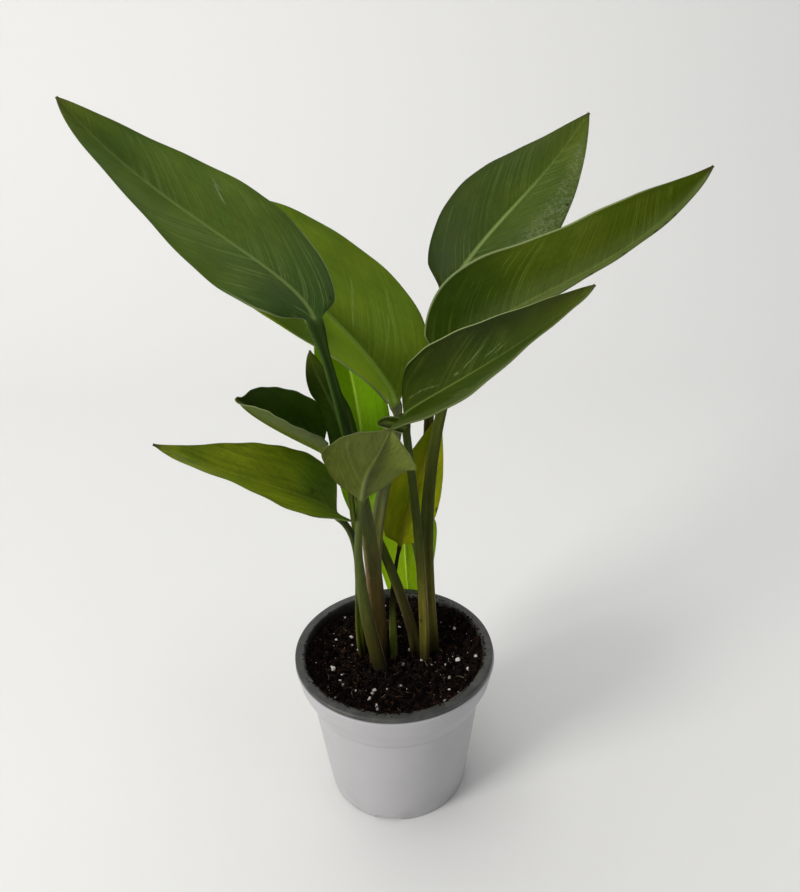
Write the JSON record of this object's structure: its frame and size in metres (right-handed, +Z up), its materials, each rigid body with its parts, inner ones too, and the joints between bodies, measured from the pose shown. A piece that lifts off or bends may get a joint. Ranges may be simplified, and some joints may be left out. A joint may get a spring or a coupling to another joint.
{
  "type": "potted bird of paradise plant",
  "caption": "Young large-leaved house plant: paddle-shaped leaves on long stalks in soil, in a dark nursery pot that hangs by its rim in a pale tapered cover pot.",
  "frame": {"origin": "centre of the cover pot's flat underside", "axes": "+Z up along the pots' axis, +X to the right in the picture and -Y towards the viewer"},
  "size_m": [0.31, 0.1551, 0.4184],
  "materials": {
    "cover_pot": "satin pale warm grey",
    "nursery_pot": "dusty dark grey",
    "soil": "moist fibrous peat with white perlite",
    "leaf_dark": "dark green with a soft sheen",
    "leaf_olive": "olive green with a soft sheen",
    "leaf_bright": "yellow-green, thin and lit through",
    "leaf_grey": "matt grey-green underside"
  },
  "bodies": {
    "root": {"cover_pot": "cover_pot", "nursery_pot": "nursery_pot", "soil": "soil", "leaf_upper_left": "leaf_dark", "leaf_upper_left_rear": "leaf_olive", "leaf_upper_right": "leaf_dark", "leaf_long_right": "leaf_olive", "leaf_lower_right": "leaf_dark", "leaf_boat": "leaf_dark", "leaf_lower_left": "leaf_olive", "leaf_front": "leaf_grey", "leaf_narrow": "leaf_dark", "leaf_rear_bright": "leaf_bright", "leaf_rear_right": "leaf_olive", "leaf_drooping": "leaf_bright"}
  },
  "joints": []
}
